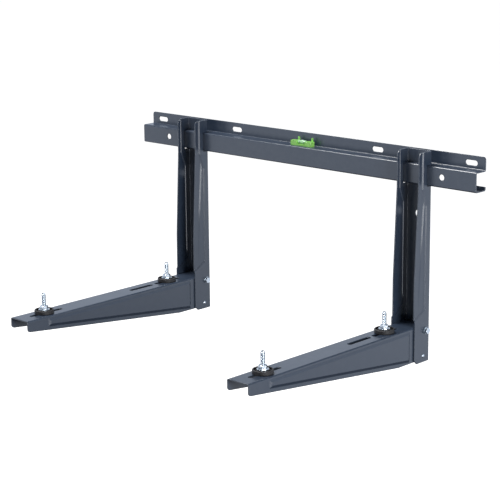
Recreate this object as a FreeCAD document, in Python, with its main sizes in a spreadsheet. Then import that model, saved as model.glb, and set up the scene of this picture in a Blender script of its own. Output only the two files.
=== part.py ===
import FreeCAD, Part
import Sketcher
import os
import re

# Wall bracket for an outdoor unit: a folded rail across the wall, two uprights
# hooked over it, two arms bolted between the upright's flanges and four feet.
# Frame: +Z up, -Y away from the wall, Y = 0 on the wall, X = 0 in the middle of
# the rail, Z = 0 at the height of the rail's wall slots. Millimetres.

doc = FreeCAD.newDocument("wall_bracket")
sheet = doc.addObject("Spreadsheet::Sheet", "sizes")

sizes = {
    "sheet_gauge": 2.0,
    "bend_outer": 3.0,
    "bend_inner": 1.0,
    "rail_length": 800.0,
    "rail_depth": 28.0,
    "rail_bottom": -45.0,
    "rail_top": -10.0,
    "rail_flange_top": 12.5,
    "rail_lip": 7.0,
    "rail_corner": 5.0,
    "wall_slot_length": 25.0,
    "wall_slot_width": 9.0,
    "wall_slot_margin": 28.5,
    "wall_slot_inner": 170.6,
    "rail_hole": 11.0,
    "rail_hole_margin": 70.6,
    "rail_hole_height": -27.0,
    "level_centre": 4.0,
    "level_length": 50.0,
    "level_depth": 11.0,
    "level_height": 8.5,
    "level_front": -18.0,
    "level_post_width": 2.4,
    "level_post_depth": 3.0,
    "level_post_height": 15.0,
    "level_post_left": -11.6,
    "level_post_right": 20.3,
    "level_window_length": 20.0,
    "level_window_depth": 5.5,
    "level_vial_radius": 3.4,
    "left_margin": 138.5,
    "right_margin": 127.0,
    "arm_play": 0.6,
    "upright_rear": -14.5,
    "upright_top": 13.5,
    "upright_bottom": -356.0,
    "upright_front_top": -47.0,
    "upright_front_low": -56.5,
    "upright_slant_start": -50.0,
    "upright_slant_end": -210.0,
    "upright_toe": 7.0,
    "upright_corner": 9.0,
    "hook_play": 0.3,
    "hook_drop": 1.2,
    "press_depth": 2.0,
    "press_slope": 50.0,
    "press_crease": -37.0,
    "press_knee_top": -50.0,
    "press_knee_low": -79.0,
    "press_rear": -26.5,
    "press_foot_rise": 93.0,
    "press_end_rise": 74.0,
    "plug_hole": 14.0,
    "plug_height": -98.0,
    "arm_width": 46.8,
    "arm_seat": 65.3,
    "arm_front": -469.3,
    "arm_rear": -18.0,
    "arm_nose": 19.5,
    "arm_lift": 4.0,
    "arm_kink": -97.0,
    "arm_corner": 6.0,
    "arm_slot_width": 9.0,
    "arm_slot_front_margin": 24.8,
    "arm_slot_front_length": 74.0,
    "arm_slot_middle_near": -145.5,
    "arm_slot_middle_far": -203.5,
    "arm_slot_rear_near": -75.0,
    "arm_slot_rear_far": -139.0,
    "panel_raise": 2.2,
    "panel_slope": 65.0,
    "panel_margin": 47.0,
    "panel_rear": -67.0,
    "panel_drop": 4.0,
    "panel_edge": 6.5,
    "foot_margin": 57.3,
    "foot_rear": -107.5,
    "stud_diameter": 8.0,
    "stud_grip": 7.2,
    "stud_rise": 37.0,
    "stud_chamfer": 1.0,
    "nut_flats": 13.0,
    "nut_height": 6.5,
    "head_height": 5.3,
    "washer_diameter": 20.0,
    "washer_gauge": 1.6,
    "hole_play": 0.4,
    "foot_diameter": 35.0,
    "foot_rim": 7.0,
    "foot_rim_width": 2.6,
    "foot_hub": 6.0,
    "foot_hub_diameter": 22.0,
    "foot_floor": 3.5,
    "foot_rib": 2.0,
    "bolt_diameter": 6.0,
    "bolt_flats": 10.0,
    "bolt_head": 4.0,
    "bolt_nut": 5.0,
    "bolt_tip": 3.0,
    "bolt_back": -25.5,
    "bolt_rise": 56.0,
    "bolt_washer": 12.5,
    "rivet_diameter": 4.0,
    "rivet_head": 7.0,
    "rivet_head_height": 1.6,
    "rivet_tail": 5.6,
    "rivet_tail_height": 1.4,
    "rivet_back": -32.0,
    "rivet_rise": 11.5,
}

# Places that follow from the sizes above, so that what belongs together moves together
places = {
    "upright_width": "=arm_width+2*sheet_gauge+2*arm_play",
    "wall_slot_outer": "=rail_length/2-wall_slot_margin",
    "rail_hole_spread": "=rail_length/2-rail_hole_margin",
    "left_side": "=-rail_length/2+left_margin",
    "right_side": "=rail_length/2-right_margin",
    "press_foot": "=upright_bottom+press_foot_rise",
    "press_end": "=upright_bottom+press_end_rise",
    "arm_top": "=upright_bottom+arm_seat",
    "arm_bottom": "=upright_bottom+arm_lift",
    "bolt_height": "=upright_bottom+bolt_rise",
    "rivet_height": "=upright_bottom+rivet_rise",
    "stud_seat": "=sheet_gauge+foot_hub+2*washer_gauge+nut_height+hole_play",
    "press_run": "=press_depth*tan(press_slope)",
    "press_lap": "=press_run-sheet_gauge*(1/cos(press_slope)-tan(press_slope))",
    "panel_inset": "=sheet_gauge*(1/cos(panel_slope)-tan(panel_slope))",
    "panel_front": "=arm_front+panel_margin",
    "foot_front": "=arm_front+foot_margin",
    "arm_slot_front_far": "=arm_front+arm_slot_front_margin",
    "arm_slot_front_near": "=arm_front+arm_slot_front_margin+arm_slot_front_length",
}

for row, (alias, entry) in enumerate(list(sizes.items()) + list(places.items()), start=1):
    sheet.set("A%d" % row, alias)
    sheet.set("B%d" % row, str(entry))
    sheet.setAlias("B%d" % row, alias)
doc.recompute()


def linked(text):
    """Write a formula of size names so that it reads the sheet."""
    return re.sub(r"[a-z][a-z_]+[a-z]", lambda word: "sizes." + word.group(0), text)


def bind(target, name, text):
    target.setExpression(name, linked(text))


def newBody(label):
    body = doc.addObject("PartDesign::Body", label)
    body.Label = label
    return body


def originPlane(body, role):
    return [item for item in body.Origin.OriginFeatures if item.Role == role][0]


def newSketch(body, name, role, offset="0"):
    sketch = body.newObject("Sketcher::SketchObject", name)
    sketch.AttachmentSupport = (originPlane(body, role), [""])
    sketch.MapMode = "FlatFace"
    bind(sketch, "AttachmentOffset.Base.z", offset)
    return sketch


def pin(sketch, piece, point, across, up):
    """Hold one point of a sketch at two formulas measured from its origin."""
    index = sketch.addConstraint(Sketcher.Constraint("DistanceX", -1, 1, piece, point, 1.0))
    bind(sketch, "Constraints[%d]" % index, across)
    index = sketch.addConstraint(Sketcher.Constraint("DistanceY", -1, 1, piece, point, 1.0))
    bind(sketch, "Constraints[%d]" % index, up)


def outline(sketch, corners):
    """Closed run of straight lines through corners given as pairs of formulas."""
    first = sketch.GeometryCount
    count = len(corners)
    ring = [FreeCAD.Vector(50, 0, 0)]
    turn = FreeCAD.Rotation(FreeCAD.Vector(0, 0, 1), 360.0 / count)
    for _ in range(count):
        ring.append(turn.multVec(ring[-1]))
    for step in range(count):
        sketch.addGeometry(Part.LineSegment(ring[step], ring[step + 1]), False)
    for step in range(count):
        following = first + (step + 1) % count
        sketch.addConstraint(Sketcher.Constraint("Coincident", first + step, 2, following, 1))
    for step, (across, up) in enumerate(corners):
        pin(sketch, first + step, 1, across, up)


def disc(sketch, across, up, diameter):
    piece = sketch.addGeometry(Part.Circle(FreeCAD.Vector(1, 1, 0), FreeCAD.Vector(0, 0, 1), 3), False)
    pin(sketch, piece, 3, across, up)
    index = sketch.addConstraint(Sketcher.Constraint("Diameter", piece, 6.0))
    bind(sketch, "Constraints[%d]" % index, diameter)


def longHole(sketch, near, far, width, upright=False):
    """Slot with round ends; near and far are the centres of the two ends."""
    lead = 1.5707963267948966 if upright else 0.0
    turn = FreeCAD.Rotation(FreeCAD.Vector(0, 0, 1), 90.0 if upright else 0.0)
    quarter = 1.5707963267948966
    normal = FreeCAD.Vector(0, 0, 1)
    base = FreeCAD.Vector(0, 0, 0)
    tip = turn.multVec(FreeCAD.Vector(10, 0, 0))
    side = turn.multVec(FreeCAD.Vector(0, -2, 0))
    far_arc = sketch.addGeometry(
        Part.ArcOfCircle(Part.Circle(tip, normal, 2), lead - quarter, lead + quarter), False)
    near_arc = sketch.addGeometry(
        Part.ArcOfCircle(Part.Circle(base, normal, 2), lead + quarter, lead + 3 * quarter), False)
    low = sketch.addGeometry(Part.LineSegment(side, side + tip), False)
    high = sketch.addGeometry(Part.LineSegment(tip - side, base - side), False)
    along = "Vertical" if upright else "Horizontal"
    sketch.addConstraint([
        Sketcher.Constraint("Tangent", low, 2, far_arc, 1),
        Sketcher.Constraint("Tangent", far_arc, 2, high, 1),
        Sketcher.Constraint("Tangent", high, 2, near_arc, 1),
        Sketcher.Constraint("Tangent", near_arc, 2, low, 1),
        Sketcher.Constraint(along, low),
        Sketcher.Constraint("Equal", near_arc, far_arc),
    ])
    index = sketch.addConstraint(Sketcher.Constraint("Radius", near_arc, 2.0))
    bind(sketch, "Constraints[%d]" % index, "(%s)/2" % width)
    pin(sketch, near_arc, 3, near[0], near[1])
    held, place = ("DistanceY", far[1]) if upright else ("DistanceX", far[0])
    index = sketch.addConstraint(Sketcher.Constraint(held, -1, 1, far_arc, 3, 10.0))
    bind(sketch, "Constraints[%d]" % index, place)


def grow(body, kind, name, sketch, length, symmetric=False, reverse=False, slope=None):
    """Pad or pocket a sketch by a formula."""
    feature = body.newObject("PartDesign::" + kind, name)
    feature.Profile = sketch
    bind(feature, "Length", length)
    if symmetric:
        feature.SideType = "Symmetric"
    feature.Reversed = reverse
    if slope:
        bind(feature, "TaperAngle", slope)
    body.Tip = feature
    doc.recompute()
    return feature


def edgeNames(feature, wanted):
    """Names of the edges for which wanted(middle, direction) holds."""
    names = []
    for number, edge in enumerate(feature.Shape.Edges, start=1):
        run = edge.Vertexes[-1].Point - edge.Vertexes[0].Point
        if run.Length > 0.01:
            run.normalize()
        if wanted(edge.BoundBox.Center, run):
            names.append("Edge%d" % number)
    return names


def near(value, target):
    return abs(value - target) < 0.02


def soften(body, kind, name, wanted, value):
    """Fillet or chamfer the edges that wanted picks on the body's last feature."""
    last = body.Tip
    feature = body.newObject("PartDesign::" + kind, name)
    feature.Base = (last, edgeNames(last, wanted))
    bind(feature, "Radius" if kind == "Fillet" else "Size", value)
    body.Tip = feature
    doc.recompute()
    return feature


def mirrorSides(body, name, features):
    feature = body.newObject("PartDesign::Mirrored", name)
    feature.Originals = features
    feature.MirrorPlane = (originPlane(body, "YZ_Plane"), [""])
    body.Tip = feature
    doc.recompute()
    return feature


def size(name):
    return float(sheet.get(name))


# Wall rail: one sheet folded into a back flange, top web, front plate and bottom web
rail = newBody("wall_rail")
section = newSketch(rail, "rail_section", "YZ_Plane")
outline(section, [
    ("0", "rail_flange_top"),
    ("-sheet_gauge", "rail_flange_top"),
    ("-sheet_gauge", "rail_top"),
    ("-rail_depth", "rail_top"),
    ("-rail_depth", "rail_bottom"),
    ("0", "rail_bottom"),
    ("0", "rail_bottom+rail_lip"),
    ("-sheet_gauge", "rail_bottom+rail_lip"),
    ("-sheet_gauge", "rail_bottom+sheet_gauge"),
    ("-rail_depth+sheet_gauge", "rail_bottom+sheet_gauge"),
    ("-rail_depth+sheet_gauge", "rail_top-sheet_gauge"),
    ("0", "rail_top-sheet_gauge"),
])
grow(rail, "Pad", "rail_sheet", section, "rail_length", symmetric=True)


def outerBend(middle, run):
    across = (middle.y, middle.z)
    places = [
        (-size("rail_depth"), size("rail_top")),
        (-size("rail_depth"), size("rail_bottom")),
        (0.0, size("rail_bottom")),
        (0.0, size("rail_top") - size("sheet_gauge")),
    ]
    return abs(run.x) > 0.99 and any(near(across[0], y) and near(across[1], z) for y, z in places)


def innerBend(middle, run):
    gauge = size("sheet_gauge")
    places = [
        (-size("rail_depth") + gauge, size("rail_top") - gauge),
        (-size("rail_depth") + gauge, size("rail_bottom") + gauge),
        (-gauge, size("rail_bottom") + gauge),
        (-gauge, size("rail_top")),
    ]
    return abs(run.x) > 0.99 and any(near(middle.y, y) and near(middle.z, z) for y, z in places)


soften(rail, "Fillet", "rail_outer_bends", outerBend, "bend_outer")
soften(rail, "Fillet", "rail_inner_bends", innerBend, "bend_inner")
soften(rail, "Fillet", "rail_flange_corners",
       lambda middle, run: abs(run.y) > 0.99 and near(middle.z, size("rail_flange_top")),
       "rail_corner")

slots = newSketch(rail, "wall_slots", "XZ_Plane")
reach = "(wall_slot_length-wall_slot_width)/2"
for spread in ("wall_slot_outer", "wall_slot_inner"):
    for sign in ("-", ""):
        middle = sign + spread
        longHole(slots, (middle + "-" + reach, "0"), (middle + "+" + reach, "0"), "wall_slot_width")
grow(rail, "Pocket", "wall_slot_cut", slots, "4*sheet_gauge", symmetric=True)

holes = newSketch(rail, "plate_holes", "XZ_Plane", "rail_depth")
for sign in ("-", ""):
    disc(holes, sign + "rail_hole_spread", "rail_hole_height", "rail_hole")
grow(rail, "Pocket", "plate_hole_cut", holes, "4*sheet_gauge", symmetric=True)

# Level: a translucent block lying on the rail's top web, with a clear vial in its window
level = newBody("level_body")
bind(level, "Placement.Base.x", "level_centre")
bind(level, "Placement.Base.y", "level_front")
bind(level, "Placement.Base.z", "rail_top")
plan = newSketch(level, "level_plan", "XY_Plane")
outline(plan, [
    ("-level_length/2", "0"),
    ("level_length/2", "0"),
    ("level_length/2", "level_depth"),
    ("-level_length/2", "level_depth"),
])
grow(level, "Pad", "level_block", plan, "level_height")
window = newSketch(level, "level_window", "XY_Plane", "level_height")
outline(window, [
    ("-level_window_length/2", "-1"),
    ("level_window_length/2", "-1"),
    ("level_window_length/2", "level_depth+1"),
    ("-level_window_length/2", "level_depth+1"),
])
grow(level, "Pocket", "level_window_cut", window, "level_window_depth")
posts = newSketch(level, "level_posts", "XY_Plane")
for place in ("level_post_left", "level_post_right"):
    outline(posts, [
        (place + "-level_post_width/2", "level_depth-level_post_depth"),
        (place + "+level_post_width/2", "level_depth-level_post_depth"),
        (place + "+level_post_width/2", "level_depth"),
        (place + "-level_post_width/2", "level_depth"),
    ])
grow(level, "Pad", "level_post_pair", posts, "level_post_height")
soften(level, "Chamfer", "level_edges",
       lambda middle, run: abs(run.z) > 0.99 and near(abs(middle.x), size("level_length") / 2),
       "level_post_width/2")

vial = newBody("level_vial")
bind(vial, "Placement.Base.x", "level_centre")
bind(vial, "Placement.Base.y", "level_front+level_depth/2")
bind(vial, "Placement.Base.z", "rail_top+level_height-level_window_depth+level_vial_radius")
tube = newSketch(vial, "vial_circle", "YZ_Plane")
outline(tube, [
    ("-level_vial_radius*0.87", "-level_vial_radius"),
    ("level_vial_radius*0.87", "-level_vial_radius"),
    ("level_vial_radius", "0"),
    ("level_vial_radius*0.7", "level_vial_radius*0.7"),
    ("0", "level_vial_radius"),
    ("-level_vial_radius*0.7", "level_vial_radius*0.7"),
    ("-level_vial_radius", "0"),
])
grow(vial, "Pad", "vial_tube", tube, "level_window_length-2*hole_play", symmetric=True)


def pressOutline(shift):
    """Boundary of the flange's pressed front part, moved forward by shift."""
    return [
        ("press_crease-" + shift, "upright_top+5"),
        ("press_crease-" + shift, "press_knee_top"),
        ("press_rear-" + shift, "press_knee_low"),
        ("press_rear-" + shift, "press_foot+" + shift),
        ("upright_front_low-5", "press_end+" + shift),
    ]


def buildUpright(label, side):
    """U channel, open to the front, hooked over the rail by a notch in both flanges."""
    body = newBody(label)
    bind(body, "Placement.Base.x", side)
    profile = newSketch(body, label + "_profile", "YZ_Plane")
    outline(profile, [
        ("upright_rear", "upright_top"),
        ("upright_rear", "rail_top"),
        ("-rail_depth-hook_play", "rail_top"),
        ("-rail_depth-hook_play", "rail_bottom-hook_drop"),
        ("upright_rear", "rail_bottom-hook_drop"),
        ("upright_rear", "upright_bottom"),
        ("upright_front_low+upright_toe", "upright_bottom"),
        ("upright_front_low", "upright_bottom+upright_toe"),
        ("upright_front_low+1", "upright_slant_end"),
        ("upright_front_top", "upright_slant_start"),
        ("upright_front_top", "upright_top"),
    ])
    grow(body, "Pad", label + "_block", profile, "upright_width", symmetric=True)
    soften(body, "Fillet", label + "_top_corner",
           lambda middle, run: abs(run.x) > 0.99 and near(middle.y, size("upright_front_top"))
           and near(middle.z, size("upright_top")),
           "upright_corner")

    press = newSketch(body, label + "_press_outside", "YZ_Plane", "upright_width/2")
    outline(press, pressOutline("0") + [("upright_front_low-5", "upright_top+5")])
    outside = grow(body, "Pocket", label + "_press", press, "press_depth", slope="-press_slope")

    channel = newSketch(body, label + "_channel", "YZ_Plane")
    outline(channel, [
        ("upright_rear-sheet_gauge", "upright_top+5"),
        ("upright_front_low-5", "upright_top+5"),
        ("upright_front_low-5", "upright_bottom-5"),
        ("upright_rear-sheet_gauge", "upright_bottom-5"),
    ])
    grow(body, "Pocket", label + "_channel_cut", channel,
         "upright_width-2*sheet_gauge-2*press_depth", symmetric=True)

    beside = newSketch(body, label + "_beside_web", "YZ_Plane")
    outline(beside, [
        ("upright_rear-sheet_gauge", "upright_top+5"),
        ("press_rear+sheet_gauge", "upright_top+5"),
        ("press_rear+sheet_gauge", "upright_bottom-5"),
        ("upright_rear-sheet_gauge", "upright_bottom-5"),
    ])
    grow(body, "Pocket", label + "_beside_cut", beside, "upright_width-2*sheet_gauge", symmetric=True)

    relief = newSketch(body, label + "_press_inside", "YZ_Plane",
                       "upright_width/2-sheet_gauge-press_depth")
    outline(relief, pressOutline("press_lap") + [
        ("upright_front_low-5", "upright_bottom-5"),
        ("press_rear+sheet_gauge+press_run+1", "upright_bottom-5"),
        ("press_rear+sheet_gauge+press_run+1", "upright_top+5"),
    ])
    inside = grow(body, "Pocket", label + "_relief", relief, "press_depth",
                  reverse=True, slope="-press_slope")
    mirrorSides(body, label + "_both_sides", [outside, inside])

    soften(body, "Fillet", label + "_outer_bends",
           lambda middle, run: abs(run.z) > 0.99 and near(middle.y, size("upright_rear"))
           and near(abs(middle.x), size("upright_width") / 2),
           "bend_outer")
    soften(body, "Fillet", label + "_inner_bends",
           lambda middle, run: abs(run.z) > 0.99
           and near(middle.y, size("upright_rear") - size("sheet_gauge"))
           and near(abs(middle.x), size("upright_width") / 2 - size("sheet_gauge")),
           "bend_inner")

    plug = newSketch(body, label + "_plug_hole", "XZ_Plane", "-upright_rear")
    disc(plug, "0", "plug_height", "plug_hole")
    grow(body, "Pocket", label + "_plug_cut", plug, "4*sheet_gauge", symmetric=True)

    side_holes = newSketch(body, label + "_side_holes", "YZ_Plane")
    disc(side_holes, "bolt_back", "bolt_height", "bolt_diameter+2*hole_play")
    disc(side_holes, "rivet_back", "rivet_height", "rivet_diameter+2*hole_play")
    grow(body, "Pocket", label + "_side_cut", side_holes, "2*upright_width", symmetric=True)
    return body


def buildArm(label, side):
    """Channel open below, tapering to the nose, with slots for the feet and raised sides."""
    body = newBody(label)
    bind(body, "Placement.Base.x", side)
    profile = newSketch(body, label + "_profile", "YZ_Plane")
    outline(profile, [
        ("arm_rear", "arm_top"),
        ("arm_rear", "arm_bottom"),
        ("arm_kink", "arm_bottom"),
        ("arm_front", "arm_top-arm_nose"),
        ("arm_front", "arm_top"),
    ])
    grow(body, "Pad", label + "_block", profile, "arm_width", symmetric=True)
    soften(body, "Fillet", label + "_nose_corner",
           lambda middle, run: abs(run.x) > 0.99 and near(middle.y, size("arm_front"))
           and near(middle.z, size("arm_top") - size("arm_nose")),
           "arm_corner")
    soften(body, "Fillet", label + "_outer_bends",
           lambda middle, run: abs(run.y) > 0.99 and near(middle.z, size("arm_top")),
           "bend_outer")

    raised = newSketch(body, label + "_panel", "YZ_Plane", "arm_width/2")
    rise = "(arm_bottom-arm_top+arm_nose)/(arm_kink-arm_front)"
    outline(raised, [
        ("panel_front", "arm_top-panel_drop"),
        ("panel_front", "arm_top-arm_nose+panel_edge+%s*(panel_front-arm_front)" % rise),
        ("panel_rear", "arm_top-arm_nose+panel_edge+%s*(panel_rear-arm_front)" % rise),
        ("panel_rear", "arm_top-panel_drop"),
    ])
    outside = grow(body, "Pad", label + "_panel_face", raised, "panel_raise", slope="-panel_slope")

    channel = newSketch(body, label + "_channel", "YZ_Plane")
    outline(channel, [
        ("arm_rear+5", "arm_top-sheet_gauge"),
        ("arm_front-5", "arm_top-sheet_gauge"),
        ("arm_front-5", "arm_bottom-5"),
        ("arm_rear+5", "arm_bottom-5"),
    ])
    grow(body, "Pocket", label + "_channel_cut", channel, "arm_width-2*sheet_gauge", symmetric=True)

    hollow = newSketch(body, label + "_hollow", "YZ_Plane", "arm_width/2-sheet_gauge")
    outline(hollow, [
        ("panel_front+panel_inset", "arm_top-panel_drop-panel_inset"),
        ("panel_front+panel_inset",
         "arm_top-arm_nose+panel_edge+panel_inset+%s*(panel_front+panel_inset-arm_front)" % rise),
        ("panel_rear-panel_inset",
         "arm_top-arm_nose+panel_edge+panel_inset+%s*(panel_rear-panel_inset-arm_front)" % rise),
        ("panel_rear-panel_inset", "arm_top-panel_drop-panel_inset"),
    ])
    inside = grow(body, "Pocket", label + "_panel_back", hollow, "panel_raise",
                  reverse=True, slope="-panel_slope")
    mirrorSides(body, label + "_both_sides", [outside, inside])

    top = newSketch(body, label + "_slots", "XY_Plane", "arm_top")
    for place in ("front", "middle", "rear"):
        ends = ["arm_slot_%s_%s" % (place, end) for end in ("far", "near")]
        longHole(top, ("0", ends[0] + "+arm_slot_width/2"), ("0", ends[1] + "-arm_slot_width/2"),
                 "arm_slot_width", upright=True)
    grow(body, "Pocket", label + "_slot_cut", top, "4*sheet_gauge", symmetric=True)

    side_holes = newSketch(body, label + "_side_holes", "YZ_Plane")
    disc(side_holes, "bolt_back", "bolt_height", "bolt_diameter+2*hole_play")
    disc(side_holes, "rivet_back", "rivet_height", "rivet_diameter+2*hole_play")
    grow(body, "Pocket", label + "_side_cut", side_holes, "2*upright_width", symmetric=True)
    return body


def hexagon(sketch, flats):
    """Six corners round the sketch's origin, two flats level."""
    wide = "(%s)*0.57735" % flats
    outline(sketch, [
        (wide, "0"),
        (wide + "/2", "(%s)/2" % flats),
        ("-" + wide + "/2", "(%s)/2" % flats),
        ("-" + wide, "0"),
        ("-" + wide + "/2", "-(%s)/2" % flats),
        (wide + "/2", "-(%s)/2" % flats),
    ])


def trimCorners(body, name, flats, low, high):
    """Turn the corners of a hexagon off to the 30 degree chamfer of a nut or head."""
    outer = "(%s)*0.57735" % flats
    sketch = newSketch(body, name + "_trim", "XZ_Plane")
    over = "(%s)*0.48" % flats
    for level_name, inward in ((low, "+"), (high, "-")):
        if level_name is None:
            continue
        outline(sketch, [
            (over, level_name),
            (outer + "+1", level_name),
            (outer + "+1", "%s%s(%s+1-%s)*0.577" % (level_name, inward, outer, over)),
        ])
    cut = body.newObject("PartDesign::Groove", name + "_corners")
    cut.Profile = sketch
    cut.ReferenceAxis = (sketch, ["V_Axis"])
    cut.Angle = 360.0
    body.Tip = cut
    doc.recompute()


def buildStud(label, across, away):
    """Hexagon bolt standing up through the arm's slot, drawn at pitch diameter in its nut."""
    body = newBody(label)
    bind(body, "Placement.Base.x", across)
    bind(body, "Placement.Base.y", away)
    bind(body, "Placement.Base.z", "arm_top-sheet_gauge-washer_gauge")
    head = newSketch(body, label + "_hexagon", "XY_Plane")
    hexagon(head, "nut_flats")
    grow(body, "Pad", label + "_head", head, "head_height", reverse=True)
    trimCorners(body, label, "nut_flats", "-head_height", None)
    shank = newSketch(body, label + "_circle", "XY_Plane")
    disc(shank, "0", "0", "stud_grip")
    grow(body, "Pad", label + "_shank", shank, "stud_seat")
    free_end = newSketch(body, label + "_thread_circle", "XY_Plane", "stud_seat")
    disc(free_end, "0", "0", "stud_diameter")
    grow(body, "Pad", label + "_thread", free_end, "stud_rise+sheet_gauge+washer_gauge-stud_seat")
    soften(body, "Chamfer", label + "_tip",
           lambda middle, run: middle.z > size("stud_rise"), "stud_chamfer")
    return body


def buildNut(label, across, away, base, flats, bore, height):
    body = newBody(label)
    bind(body, "Placement.Base.x", across)
    bind(body, "Placement.Base.y", away)
    bind(body, "Placement.Base.z", base)
    plan = newSketch(body, label + "_hexagon", "XY_Plane")
    hexagon(plan, flats)
    disc(plan, "0", "0", bore + "+2*hole_play")
    grow(body, "Pad", label + "_block", plan, height)
    trimCorners(body, label, flats, "0", height)
    return body


def buildWasher(label, across, away, base, diameter, bore):
    body = newBody(label)
    bind(body, "Placement.Base.x", across)
    bind(body, "Placement.Base.y", away)
    bind(body, "Placement.Base.z", base)
    plan = newSketch(body, label + "_ring", "XY_Plane")
    disc(plan, "0", "0", diameter)
    disc(plan, "0", "0", bore + "+2*hole_play")
    grow(body, "Pad", label + "_plate", plan, "washer_gauge")
    return body


def buildPad(label, across, away):
    """Rubber foot: a dish with a hub, a raised rim and ribs between them."""
    body = newBody(label)
    bind(body, "Placement.Base.x", across)
    bind(body, "Placement.Base.y", away)
    bind(body, "Placement.Base.z", "arm_top")
    half = newSketch(body, label + "_section", "XZ_Plane")
    outline(half, [
        ("stud_diameter/2+hole_play", "0"),
        ("foot_diameter/2-0.8", "0"),
        ("foot_diameter/2", "0.8"),
        ("foot_diameter/2", "foot_rim-1"),
        ("foot_diameter/2-0.8", "foot_rim"),
        ("foot_diameter/2-foot_rim_width", "foot_rim"),
        ("foot_diameter/2-foot_rim_width", "foot_floor"),
        ("foot_hub_diameter/2", "foot_floor"),
        ("foot_hub_diameter/2", "foot_hub"),
        ("stud_diameter/2+hole_play", "foot_hub"),
    ])
    dish = body.newObject("PartDesign::Revolution", label + "_dish")
    dish.Profile = half
    dish.ReferenceAxis = (half, ["V_Axis"])
    dish.Angle = 360.0
    body.Tip = dish
    doc.recompute()
    bar = newSketch(body, label + "_rib", "XY_Plane")
    outline(bar, [
        ("foot_hub_diameter/2-1", "-foot_rib/2"),
        ("foot_diameter/2-1", "-foot_rib/2"),
        ("foot_diameter/2-1", "foot_rib/2"),
        ("foot_hub_diameter/2-1", "foot_rib/2"),
    ])
    rib = grow(body, "Pad", label + "_first_rib", bar, "foot_hub-0.6")
    ring = body.newObject("PartDesign::PolarPattern", label + "_ribs")
    ring.Originals = [rib]
    ring.Axis = (half, ["V_Axis"])
    ring.Angle = 360.0
    ring.Occurrences = 8
    body.Tip = ring
    doc.recompute()
    return body


# Uprights and arms, one pair on each side
for word in ("left", "right"):
    side = word + "_side"
    buildUpright(word + "_upright", side)
    buildArm(word + "_arm", side)

    # Foot bolts with their washers, rubber feet and nuts
    for place in ("front", "rear"):
        spot = "%s_%s_" % (word, place)
        away = "foot_" + place
        buildStud(spot + "foot_bolt", side, away)
        buildWasher(spot + "inner_washer", side, away, "arm_top-sheet_gauge-washer_gauge",
                    "washer_diameter", "stud_diameter")
        buildPad(spot + "rubber_foot", side, away)
        buildWasher(spot + "washer", side, away, "arm_top+foot_hub", "washer_diameter",
                    "stud_diameter")
        buildNut(spot + "nut", side, away, "arm_top+foot_hub+washer_gauge", "nut_flats",
                 "stud_grip", "nut_height")

    # Cross bolt through both flanges and the arm, its head on the right-hand flange
    bolt = newBody(word + "_cross_bolt")
    bind(bolt, "Placement.Base.x", side + "+upright_width/2+washer_gauge")
    bind(bolt, "Placement.Base.y", "bolt_back")
    bind(bolt, "Placement.Base.z", "bolt_height")
    head = newSketch(bolt, word + "_bolt_hexagon", "YZ_Plane")
    hexagon(head, "bolt_flats")
    grow(bolt, "Pad", word + "_bolt_head", head, "bolt_head")
    shank = newSketch(bolt, word + "_bolt_circle", "YZ_Plane")
    disc(shank, "0", "0", "bolt_diameter")
    grow(bolt, "Pad", word + "_bolt_shank", shank,
         "upright_width+2*washer_gauge+bolt_nut+bolt_tip", reverse=True)

    fastening = newBody(word + "_cross_nut")
    bind(fastening, "Placement.Base.x", side + "-upright_width/2-washer_gauge-bolt_nut")
    bind(fastening, "Placement.Base.y", "bolt_back")
    bind(fastening, "Placement.Base.z", "bolt_height")
    plan = newSketch(fastening, word + "_cross_nut_hexagon", "YZ_Plane")
    hexagon(plan, "bolt_flats")
    disc(plan, "0", "0", "bolt_diameter+2*hole_play")
    grow(fastening, "Pad", word + "_cross_nut_block", plan, "bolt_nut")

    for end, start in (("head", "+upright_width/2"), ("nut", "-upright_width/2-washer_gauge")):
        washer = newBody("%s_cross_%s_washer" % (word, end))
        bind(washer, "Placement.Base.x", side + start)
        bind(washer, "Placement.Base.y", "bolt_back")
        bind(washer, "Placement.Base.z", "bolt_height")
        plan = newSketch(washer, "%s_cross_%s_ring" % (word, end), "YZ_Plane")
        disc(plan, "0", "0", "bolt_washer")
        disc(plan, "0", "0", "bolt_diameter+2*hole_play")
        grow(washer, "Pad", "%s_cross_%s_plate" % (word, end), plan, "washer_gauge")

    # Rivets that hold the arm's foot to each flange
    for flank, turn in (("inner", 180.0 if word == "right" else 0.0),
                        ("outer", 0.0 if word == "right" else 180.0)):
        rivet = newBody("%s_%s_rivet" % (word, flank))
        rivet.Placement.Rotation = FreeCAD.Rotation(FreeCAD.Vector(0, 0, 1), turn)
        outward = "+" if turn == 0.0 else "-"
        bind(rivet, "Placement.Base.x", side + outward + "upright_width/2")
        bind(rivet, "Placement.Base.y", "rivet_back")
        bind(rivet, "Placement.Base.z", "rivet_height")
        half = newSketch(rivet, "%s_%s_rivet_section" % (word, flank), "XY_Plane")
        grip = "((upright_width-arm_width)/2+sheet_gauge)"
        outline(half, [
            ("rivet_head_height", "0"),
            ("rivet_head_height", "rivet_head/4"),
            ("rivet_head_height/2", "rivet_head*0.43"),
            ("0", "rivet_head/2"),
            ("0", "rivet_diameter/2"),
            ("-" + grip, "rivet_diameter/2"),
            ("-" + grip, "rivet_tail/2"),
            ("-" + grip + "-rivet_tail_height", "rivet_tail/2"),
            ("-" + grip + "-rivet_tail_height", "0"),
        ])
        spin = rivet.newObject("PartDesign::Revolution", "%s_%s_rivet_turned" % (word, flank))
        spin.Profile = half
        spin.ReferenceAxis = (half, ["H_Axis"])
        spin.Angle = 360.0
        rivet.Tip = spin
        doc.recompute()

doc.recompute()

# Every object must stand before anything is written
for item in doc.Objects:
    for state in item.State:
        if state in ("Invalid", "Error"):
            raise RuntimeError("%s is %s" % (item.Name, state))
bodies = [item for item in doc.Objects if item.TypeId == "PartDesign::Body"]
for body in bodies:
    if body.Shape.isNull() or not body.Shape.isValid():
        raise RuntimeError("%s has no valid shape" % body.Label)

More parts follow.
